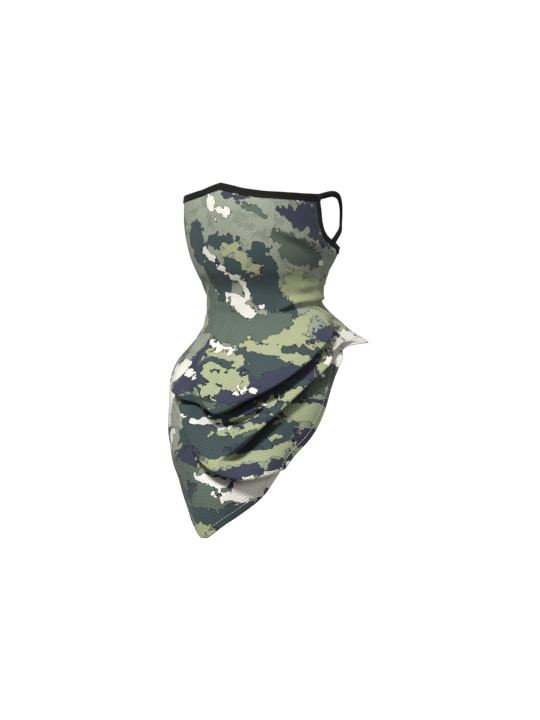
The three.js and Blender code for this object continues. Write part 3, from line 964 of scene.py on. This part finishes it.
@dataclass(frozen=True)
class StudioPaper:
    """White studio paper."""

    # Uncoated paper from a wide roll, lit evenly from behind. The eye sees an even matt white
    # with no shadow on it.
    name: str = "studio_paper"
    colour: str = "#f7f7f5"
    glow: float = 0.97

    def build(self) -> Material:
        """Makes the material.

        Returns:
            The material.
        """
        made, tree = blank(self.name)
        skin = add(tree, "BsdfPrincipled", {}, {
            "Base Color": linear(self.colour), "Roughness": 0.95,
            "Emission Color": linear(self.colour), "Emission Strength": self.glow})
        add(tree, "OutputMaterial", {}, {0: skin.outputs[0]})
        return made


class Finishes:
    """Every material of the gaiter, made once."""

    def __init__(self) -> None:
        """Makes the materials."""
        self.knit = PrintedKnit().build()
        self.knit_back = PrintedKnit(name="unprinted_knit_back", fade=0.8).build()
        self.tape = StretchTape().build()
        self.pale_thread = SpunThread("pale_sewing_thread", "#c9cdbd", "#a9ae9c").build()
        self.black_thread = SpunThread("black_sewing_thread", "#2c2e2b", "#151715").build()


# ---------------------------------------------------------------- mesh making
PRINT_LEAN = 0.32                # the drape hangs on the bias, so its rows of dimples lean
LEAN_HEIGHTS = (120.0, 180.0)


def make_object(name: str, vertices: Array, faces: Sequence[Sequence[int]],
                materials: Sequence[Material]) -> Piece:
    """Makes a smooth-shaded mesh object.

    Args:
        name: the piece's name.
        vertices: rows of x, y and z, in millimetres.
        faces: vertex numbers of each face.
        materials: the piece's materials, in the order of their slots.

    Returns:
        The object.
    """
    mesh = bpy.data.meshes.new(name)
    mesh.from_pydata((np.asarray(vertices) * MM).tolist(), [], [tuple(face) for face in faces])
    mesh.validate()
    mesh.update()
    mesh.polygons.foreach_set("use_smooth", [True] * len(mesh.polygons))
    for material in materials:
        mesh.materials.append(material)
    made = bpy.data.objects.new(name, mesh)
    bpy.context.scene.collection.objects.link(made)
    return made


def paint(made: Piece, angle: Array, height: Array, inks: bool = True,
          length: Array | None = None) -> None:
    """Gives a mesh its cloth coordinates and, where it is printed, its ink depths.

    Args:
        made: the mesh object.
        angle: each vertex's angle round the neck, running on past 180 at the back.
        height: each vertex's height before folding.
        inks: whether the piece is printed.
        length: each vertex's place down the cloth as it lies over the folds, where it is known.
    """
    mesh = made.data
    tilt = PRINT_LEAN * smoothstep(-height, *LEAN_HEIGHTS)
    down = height if length is None else length
    across, up = angle * ARC * MM, (down - tilt * np.abs(folded(angle)) * ARC) * MM
    layer = mesh.uv_layers.new(name="cloth")
    loops = np.zeros(len(mesh.loops), np.int32)
    mesh.loops.foreach_get("vertex_index", loops)
    flat = np.stack([across[loops], up[loops]], -1)
    layer.data.foreach_set("uv", flat.astype(np.float32).ravel())
    if not inks:
        return
    worn = FORM.points(angle, height)
    spots = mesh.attributes.new("worn", "FLOAT_VECTOR", "POINT")
    spots.data.foreach_set("vector", worn.astype(np.float32).ravel())
    for ink in Ink:
        values = ink_depth(ink, angle, worn[..., 2])
        attribute = mesh.attributes.new(ink.value, "FLOAT", "POINT")
        attribute.data.foreach_set("value", values.astype(np.float32))


def grid_faces(columns: int, rows: int) -> list[list[int]]:
    """Lists the quads of a grid whose vertices run down each column."""
    start = (np.arange(columns - 1)[:, None] * rows + np.arange(rows - 1)[None, :]).ravel()
    return np.stack([start, start + 1, start + rows + 1, start + rows], -1).tolist()


def settle_normals(made: Piece) -> None:
    """Turns all of a closed mesh's faces outward.

    Args:
        made: the mesh object.
    """
    work = bmesh.new()
    work.from_mesh(made.data)
    bmesh.ops.recalc_face_normals(work, faces=work.faces)
    work.to_mesh(made.data)
    work.free()


@dataclass
class ClothPanel:
    """A sheet of knit between two edges."""

    name: str
    start: float
    end: float
    top: Callable[[Array], Array]
    bottom: Callable[[Array], Array]
    columns: int
    rows: int
    finishes: Finishes

    def build(self) -> Piece:
        """Makes the sheet with its thickness, its unprinted back inside.

        Returns:
            The sheet.
        """
        angle = np.repeat(np.linspace(self.start, self.end, self.columns), self.rows)
        share = np.tile(np.linspace(0, 1, self.rows), self.columns)
        high, low = self.top(angle), self.bottom(angle)
        height = high + (low - high) * share
        points = FORM.points(angle, height)
        made = make_object(self.name, points, grid_faces(self.columns, self.rows),
                           (self.finishes.knit, self.finishes.knit_back))
        lines = points.reshape(self.columns, self.rows, 3)
        steps = np.linalg.norm(np.diff(lines, axis=1), axis=2)
        drop = np.concatenate([np.zeros((self.columns, 1)), np.cumsum(steps, axis=1)], axis=1)
        paint(made, angle, height, True, high - drop.ravel())
        thick = made.modifiers.new("thickness", "SOLIDIFY")
        thick.thickness = CLOTH * MM
        thick.offset = -1.0
        thick.material_offset = 1
        thick.material_offset_rim = 0
        return made


class ClothLine:
    """A line on the cloth's outer face, with the ways along it, across it and out of it."""

    def __init__(self, rows: Array, side: int) -> None:
        """Finds the ways.

        Args:
            rows: angle and height of each point of the line.
            side: 1 or -1, for which side of the line counts as across.
        """
        self.angle, self.height = rows.T
        self.points = FORM.points(self.angle, self.height)
        turn = (FORM.points(self.angle + NUDGE, self.height)
                - FORM.points(self.angle - NUDGE, self.height))
        fall = (FORM.points(self.angle, self.height + NUDGE)
                - FORM.points(self.angle, self.height - NUDGE))
        self.out = unit(np.cross(turn, fall))
        self.across = np.cross(unit(np.gradient(self.points, axis=0)), self.out) * side
        self.degrees = (np.einsum("ij,ij->i", self.across, unit(turn))
                        / (np.linalg.norm(turn, axis=1) / (2 * NUDGE)))
        self.rise = np.einsum("ij,ij->i", self.across, unit(fall))

    def beside(self, reach: float) -> tuple[Array, Array]:
        """Returns the angles and heights a distance across from the line."""
        return self.angle + self.degrees * reach, self.height + self.rise * reach

    def lifted(self, reach: float, lift: float) -> Array:
        """Returns the points a distance across from the line and a distance out of the cloth."""
        return FORM.points(*self.beside(reach)) + self.out * lift


@dataclass
class Edging:
    """A strip of constant section along a line on the cloth.

    Section points are depth below the outer face and distance across the line, in millimetres.
    The wobble is how far the strip's sides wander. Where the line is the cloth's edge, the part of
    the section past it goes straight on, and otherwise it follows the cloth.
    """

    name: str
    line: Array
    section: Sequence[tuple[float, float]]
    side: int
    material: Material
    printed: bool = False
    wobble: float = 0.0
    past_edge: bool = True
    waves: float = 0.06              # waves of the wobble in a millimetre

    def build(self) -> Piece:
        """Makes the strip with closed ends.

        Returns:
            The strip.
        """
        line = ClothLine(self.line, self.side)
        swing = np.array([noise.noise(Vector((s * self.waves, 3.1 * self.side, 0.7)))
                          for s in lengths_along(line.points)])
        count, size = len(self.line), len(self.section)
        points = np.zeros((count, size, 3))
        marks = np.zeros((count, size, 2))
        for k, (depth, reach) in enumerate(self.section):
            on_cloth = 0.0 if self.past_edge and reach < 0 else reach
            move = (reach - on_cloth) + swing * self.wobble * np.sign(reach)
            points[:, k] = line.lifted(on_cloth, -depth) + line.across * move[:, None]
            angle, height = line.beside(on_cloth)
            marks[:, k] = np.stack([angle, height + (0.0 if self.printed else depth)], -1)
        rings = np.arange(count - 1)[:, None] * size
        start = rings + np.arange(size)[None, :]
        after = rings + ((np.arange(size) + 1) % size)[None, :]
        faces = np.stack([start, after, after + size, start + size], -1).reshape(-1, 4).tolist()
        faces += [list(range(size))[::-1], [(count - 1) * size + k for k in range(size)]]
        made = make_object(self.name, points.reshape(-1, 3), faces, (self.material,))
        settle_normals(made)
        paint(made, marks[:, :, 0].ravel(), marks[:, :, 1].ravel(), self.printed)
        return made


THREAD_SIDES = 6
THREAD_TAPER = (0.35, 0.9, 1.0, 0.9, 0.35)       # a stitch's thickness from end to end


def stitch_mesh(name: str, starts: Array, ends: Array, outs: Array, radius: float,
                material: Material, bow: float = 0.25) -> Piece:
    """Makes a row of stitches, each a short thread that dips into the cloth at both ends.

    Args:
        name: the piece's name.
        starts: each stitch's first end, in millimetres.
        ends: each stitch's other end.
        outs: the way out of the cloth at each stitch.
        radius: thread radius.
        material: the thread's material.
        bow: how far the middle of the stitch stands above its ends.

    Returns:
        The stitches, as one object.
    """
    along = ends - starts
    long = unit(along)
    aside = unit(np.cross(long, outs))
    up = np.cross(aside, long)
    turns = np.linspace(0, 2 * math.pi, THREAD_SIDES, endpoint=False)
    stations = len(THREAD_TAPER)
    points = []
    for t, thin in zip(np.linspace(0, 1, stations), THREAD_TAPER):
        centre = starts + along * t + outs * (bow * math.sin(math.pi * t))
        ring = [centre + (aside * math.cos(a) + up * math.sin(a)) * (thin * radius) for a in turns]
        points.append(np.stack(ring, 1))
    faces = []
    for base in range(0, len(starts) * THREAD_SIDES * stations, THREAD_SIDES * stations):
        for ring_start in range(base, base + (stations - 1) * THREAD_SIDES, THREAD_SIDES):
            for k in range(THREAD_SIDES):
                a, b = ring_start + k, ring_start + (k + 1) % THREAD_SIDES
                faces.append((a, b, b + THREAD_SIDES, a + THREAD_SIDES))
        last = base + (stations - 1) * THREAD_SIDES
        faces.append(tuple(base + k for k in reversed(range(THREAD_SIDES))))
        faces.append(tuple(last + k for k in range(THREAD_SIDES)))
    return make_object(name, np.stack(points, 1).reshape(-1, 3), faces, (material,))


@dataclass
class StitchRow:
    """A row of lock stitches a distance across from a line on the cloth, in millimetres."""

    name: str
    line: Array
    reach: float
    side: int
    lift: float
    material: Material
    pitch: float = 3.4
    length: float = 2.5
    radius: float = 0.4
    lead: float = 0.6

    def build(self) -> Piece:
        """Makes the stitches.

        Returns:
            The stitches, as one object.
        """
        line = ClothLine(self.line, self.side)
        centre = line.lifted(self.reach, self.lift)
        length = lengths_along(centre)
        begin = np.arange(self.lead, length[-1] - self.length, self.pitch)
        starts, ends, outs = (
            np.stack([np.interp(marks, length, column) for column in rows.T], -1)
            for marks, rows in ((begin, centre), (begin + self.length, centre), (begin, line.out)))
        return stitch_mesh(self.name, starts, ends, outs, self.radius, self.material)


# ---------------------------------------------------------------- sub-assemblies
def seat(piece: Piece, slot: str, *nodes: str) -> Piece:
    """Lets a piece ride on the mask in place of its CAD nodes.

    Args:
        piece: the piece.
        slot: the record's material slot; not used.
        nodes: the nodes it stands for.

    Returns:
        The same piece.
    """
    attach(piece, "mask")
    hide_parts(*nodes)
    return piece


@dataclass
class GaiterCloth:
    """The two knit panels, their side seams and hems."""

    finishes: Finishes
    blend_up: float = 30.0
    blend_down: float = 26.0
    front_grid: tuple[int, int] = (330, 330)
    back_grid: tuple[int, int] = (160, 110)
    front_flat: tuple[float, float] = (0.46, 0.47)
    front_area: float = 0.135
    back_flat: tuple[float, float] = (0.21, 0.115)
    # the turned-up hem: it rolls over the cloth's edge and lies flat inside
    hem_section: Line = (
        (0.1, 0.5), (0.05, 0.1), (0.2, -0.35), (0.7, -0.6), (1.3, -0.45), (1.65, 0.1), (1.75, 1.0),
        (1.75, 4.5), (1.7, 7.4), (1.45, HEM_DEPTH), (1.0, HEM_DEPTH), (0.8, 7.5), (0.78, 4.5),
        (0.78, 1.0), (0.6, 0.4), (0.3, 0.35))
    hem_lift: float = 0.12
    # the pressed seam allowance, and the overlock stitches that bind it
    seam_section: Line = (
        (0.72, -4.4), (0.72, 4.4), (1.0, 4.6), (1.7, 4.2), (1.9, 2.0), (1.95, 0.0), (1.9, -2.0),
        (1.7, -4.2), (1.0, -4.6))
    overlock_reach: float = 3.4
    overlock_slant: float = 0.8
    overlock_lift: float = -2.1

    def bend(self, piece: Piece, slot: str, *nodes: str) -> Piece:
        """Bakes a piece's placement into its mesh, in place of its CAD nodes.

        Args:
            piece: the piece.
            slot: the record's material slot; not used.
            nodes: the nodes it stands for.

        Returns:
            The same piece.
        """
        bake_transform(piece)
        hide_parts(*nodes)
        return piece

    def build(self) -> list[Piece]:
        """Makes the panels, hems and seams.

        Returns:
            Every piece.
        """
        front = self.bend(ClothPanel("front_cloth", -SIDE_ANGLE, SIDE_ANGLE, top_height, hem_height,
                                     *self.front_grid, self.finishes).build(),
                          "camo_knit", "front_panel", "bandana_point")
        back = seat(ClothPanel("back_cloth", SIDE_ANGLE, FULL_TURN - SIDE_ANGLE, ear_height,
                               back_hem_height, *self.back_grid, self.finishes).build(),
                    "camo_knit", "back_panel")
        side_hems, back_hem, seams = self.side_hems(), self.back_hem(), self.seams()
        return [front, back] + side_hems + back_hem + seams

    def side_hems(self) -> list[Piece]:
        """Makes the front panel's turned-up hems and their stitches.

        Returns:
            The hems and rows of stitches.
        """
        made = []
        for hand, way in (("left", 1), ("right", -1)):
            edge = run(1.2 * way, way * (SIDE_ANGLE - 0.5), hem_height, 1.6)
            hem = Edging(f"hem_{hand}", edge, self.hem_section, -way, self.finishes.knit,
                         True).build()
            made.append(self.bend(hem, "camo_knit", f"side_hem_{hand}", f"point_hem_{hand}"))
            edge = run(4.0 * way, way * (SIDE_ANGLE - 1.0), hem_height, 1.2)
            row = StitchRow(f"hem_stitches_{hand}", edge, STITCH_INSET, -way, self.hem_lift,
                            self.finishes.pale_thread).build()
            made.append(self.bend(row, "light_thread", f"side_hem_thread_{hand}",
                                  f"point_hem_thread_{hand}"))
        return made

    def back_hem(self) -> list[Piece]:
        """Makes the back panel's turned-up hem and its stitches.

        Returns:
            The hem and the row of stitches.
        """
        edge = run(SIDE_ANGLE + 0.5, FULL_TURN - SIDE_ANGLE - 0.5, back_hem_height, 1.8)
        hem = Edging("back_hem_fold", edge, self.hem_section, -1, self.finishes.knit, True).build()
        row = StitchRow("back_hem_stitches", edge, STITCH_INSET, -1, self.hem_lift,
                        self.finishes.pale_thread).build()
        return [seat(hem, "camo_knit", "back_hem"), seat(row, "light_thread", "back_hem_thread")]

    def seams(self) -> list[Piece]:
        """Makes the pressed seam allowances inside the two side seams, with overlock stitches.

        Returns:
            The allowances, which carry their stitches.
        """
        made = []
        high, low = CORNER_HEIGHT - 3.0, SIDE_CORNER_HEIGHT + 1.8
        for hand, way in (("left", 1), ("right", -1)):
            height = np.linspace(high, low, 400)
            rows = evenly(np.full_like(height, SIDE_ANGLE * way), height, 1.6)
            seam = Edging(f"side_seam_allowance_{hand}", rows, self.seam_section, way,
                          self.finishes.knit_back, True, 0.0, False).build()
            made.append(seat(seam, "camo_knit", f"side_seam_{hand}"))
            line = ClothLine(rows, way)
            centre = line.lifted(0.0, self.overlock_lift)
            along = unit(np.gradient(centre, axis=0))
            across = np.cross(along, line.out) * self.overlock_reach
            starts, ends = centre + across, centre - across + along * self.overlock_slant
            stitches = stitch_mesh(f"overlock_{hand}", starts[2:-2], ends[2:-2], -line.out[2:-2],
                                   0.22, self.finishes.pale_thread, 0.12)
            stitches.parent = seam
            stitches.matrix_parent_inverse = seam.matrix_world.inverted()
        return made


@dataclass
class Bindings:
    """The black tape round the upper edges, its stitches and bar tacks, and the ear loops."""

    finishes: Finishes
    thick: float = 0.95
    roll: float = 1.3
    loop_half: float = 3.4
    loop_thick: float = 1.6
    loop_blend: tuple[float, float] = (1.0, 14.0)

    def section(self) -> list[tuple[float, float]]:
        """Shapes the folded tape's section, rounded over the cloth's edge.

        Returns:
            Depth and distance across of each point, in millimetres.
        """
        outer, inner = -self.thick, CLOTH + self.thick
        middle, spread = (outer + inner) / 2, (inner - outer) / 2
        shape = [(outer + 0.15, BINDING_DEPTH), (outer - 0.05, BINDING_DEPTH - 0.5),
                 (outer - 0.1, 3.5)]
        for turn in np.linspace(0, math.pi, 9):
            shape.append((middle - spread * math.cos(turn) * 1.04,
                          0.2 - self.roll * math.sin(turn)))
        return shape + [
            (inner + 0.1, 3.5), (inner + 0.05, BINDING_DEPTH - 0.5), (inner - 0.15, BINDING_DEPTH),
            (CLOTH + 0.05, BINDING_DEPTH - 0.1), (CLOTH + 0.05, 0.4), (-0.05, 0.4),
            (-0.05, BINDING_DEPTH - 0.1)]

    def loop_section(self) -> list[tuple[float, float]]:
        """Shapes the loop tape's section: flat, with rounded edges and a shallow middle.

        Returns:
            Depth and distance across of each point, in millimetres.
        """
        thick, half = self.loop_thick, self.loop_half
        side = [(-thick, -half + 0.6), (-thick * 0.9, 0.0), (-thick, half - 0.6),
                (-thick * 0.6, half - 0.1), (0.0, half), (thick * 0.6, half - 0.1)]
        around = side + [(-depth, -reach) for depth, reach in side]
        return [(depth + CLOTH / 2, reach) for depth, reach in around]

    def build(self) -> list[Piece]:
        """Makes the bindings, their stitches, the loops and the tacks.

        Returns:
            Every piece.
        """
        nose_end, under = CHEEK_ANGLE + 2.2, CHEEK_ANGLE + 0.5
        nose = run(-nose_end, nose_end, nose_height, 1.4)
        around = np.concatenate([run(under, HALF_TURN, ear_height, 1.4),
                                 run(HALF_TURN, FULL_TURN - under, ear_height, 1.4)[1:]])
        made = []
        for name, edge, nodes in (
                ("nose_tape", nose, ("nose_binding",)),
                ("ear_and_nape_tape", around,
                 ("ear_binding_left", "ear_binding_right", "nape_binding"))):
            tape = Edging(name, edge, self.section(), 1, self.finishes.tape, False, 0.25).build()
            made.append(seat(tape, "black_binding", *nodes))
        for name, edge, node in (("nose_tape_stitches", nose, "nose_binding_thread"),
                                 ("nape_tape_stitches", around, "nape_binding_thread")):
            row = StitchRow(name, edge, BINDING_DEPTH - 1.6, 1, self.thick + 0.1,
                            self.finishes.black_thread, 2.9, 2.2, 0.28).build()
            made.append(seat(row, "black_thread", node))
        for hand, way in (("left", 1), ("right", -1)):
            made += [self.loop(hand, way)] + self.tacks(hand, way)
        return made

    def loop(self, hand: str, way: int) -> Piece:
        """Makes an ear loop, sewn to the cloth at both ends.

        Args:
            hand: left or right.
            way: 1 for the left, -1 for the right.

        Returns:
            The loop.
        """
        angle, height = np.array(LOOP_CENTRE, float).T
        steps = np.concatenate([[0], np.cumsum(np.hypot(np.diff(angle) * ARC, np.diff(height)))])
        fine = np.linspace(0, steps[-1], 260)
        line = evenly(round_curve(steps, angle, fine) * way, round_curve(steps, height, fine), 1.3)
        loop = Edging(f"loop_tape_{hand}", line, self.loop_section(), way, self.finishes.tape,
                      False, 0.15, False).build()
        points = FORM.points(line[:, 0], line[:, 1]) * MM
        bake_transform(loop)
        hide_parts(f"ear_loop_{hand}")
        return loop

    def tacks(self, hand: str, way: int) -> list[Piece]:
        """Makes the two bar tacks that hold an ear loop's ends.

        Args:
            hand: left or right.
            way: 1 for the left, -1 for the right.

        Returns:
            The upper and the lower tack.
        """
        made = []
        for place, at, height_at in (("upper", CHEEK_ANGLE + 0.9, nose_height),
                                     ("lower", LOOP_END_ANGLE + 2.6, ear_height)):
            angles = np.linspace(at - 0.7, at + 0.7, 7) * way
            heights = height_at(angles)
            out = unit(FORM.points(angles, heights) * (1.0, 1.0, 0.0))
            lift = out * (self.thick + 0.2)
            high = FORM.points(angles, heights - 0.6) + lift
            low = FORM.points(angles, heights - BINDING_DEPTH + 1.2) + lift
            tack = stitch_mesh(f"{place}_bar_tack_{hand}", high, low, out, 0.22,
                               self.finishes.black_thread, 0.15)
            made.append(seat(tack, "black_thread", f"{place}_tack_{hand}"))
        return made


# ---------------------------------------------------------------- studio
@dataclass
class Studio:
    """The camera, the soft lights, the white surroundings and the pale floor, in metres."""

    azimuth: float = 30.0
    elevation: float = 0.5
    distance: float = 2.268
    lens: float = 100.0
    aim: tuple[float, float, float] = (0.00536, 0.0031, -0.1605)
    far: float = 50.0
    floor_height: float = -0.43
    floor_half: float = 14.0
    ambient: float = 0.25            # how strongly the surroundings light the cloth
    backdrop: float = 1.05           # how bright they look

    def build(self) -> None:
        """Makes the studio."""
        self.camera()
        self.floor()
        self.world()
        self.light("key_softbox", (0.25, -1.6, 1.12), 0.45, 44.0)
        self.light("side_softbox", (1.9, -0.9, 0.5), 0.9, 5.0)
        bpy.context.scene.view_settings.view_transform = "Standard"

    def camera(self) -> None:
        """Makes the camera."""
        turn, rise = math.radians(self.azimuth), math.radians(self.elevation)
        back = Vector((math.sin(turn) * math.cos(rise), -math.cos(turn) * math.cos(rise),
                       math.sin(rise)))
        data = bpy.data.cameras.new("studio_camera")
        data.lens = self.lens
        data.clip_end = self.far
        camera = bpy.data.objects.new("studio_camera", data)
        camera.location = Vector(self.aim) + back * self.distance
        camera.rotation_mode = "QUATERNION"
        camera.rotation_quaternion = (-back).to_track_quat("-Z", "Y")
        bpy.context.scene.collection.objects.link(camera)
        bpy.context.scene.camera = camera

    def light(self, name: str, place: tuple[float, float, float], size: float,
              power: float) -> None:
        """Makes a soft light that faces the gaiter.

        Args:
            name: the light's name.
            place: where it stands.
            size: its breadth.
            power: its power, in watts.
        """
        data = bpy.data.lights.new(name, "AREA")
        data.shape = "DISK"
        data.size = size
        data.energy = power
        lamp = bpy.data.objects.new(name, data)
        lamp.location = place
        lamp.rotation_mode = "QUATERNION"
        lamp.rotation_quaternion = (Vector(self.aim) - Vector(place)).to_track_quat("-Z", "Y")
        bpy.context.scene.collection.objects.link(lamp)

    def floor(self) -> None:
        """Makes the floor, whose glow doesn't light the cloth from below."""
        half = self.floor_half / MM
        corners = np.array([(-half, -half, 0), (half, -half, 0), (half, half, 0), (-half, half, 0)])
        floor = make_object("studio_floor", corners, [(0, 1, 2, 3)], (StudioPaper().build(),))
        floor.location.z = self.floor_height
        floor.visible_diffuse = False
        floor.visible_glossy = False

    def world(self) -> None:
        """Makes the even white surroundings, brighter to look at than as a light."""
        world = bpy.data.worlds.new("white_studio")
        world.use_nodes = True
        tree = world.node_tree
        seen = add(tree, "LightPath")
        strength = add(tree, "MapRange", {}, {0: seen.outputs["Is Camera Ray"], 3: self.ambient,
                                              4: self.backdrop})
        background = tree.nodes["Background"]
        background.inputs[0].default_value = (1.0, 1.0, 1.0, 1.0)
        tree.links.new(strength.outputs[0], background.inputs[1])
        bpy.context.scene.world = world


def main() -> None:
    """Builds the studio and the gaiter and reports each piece."""
    Studio().build()
    finishes = Finishes()
    for assembly in (GaiterCloth(finishes), Bindings(finishes)):
        for piece in assembly.build():
            for part in (piece, *piece.children):
                LOG.info("%s: %s, %s, %d points", type(assembly).__name__, part.name,
                         part.data.materials[0].name, len(part.data.vertices))


if __name__ == "__main__":
    main()
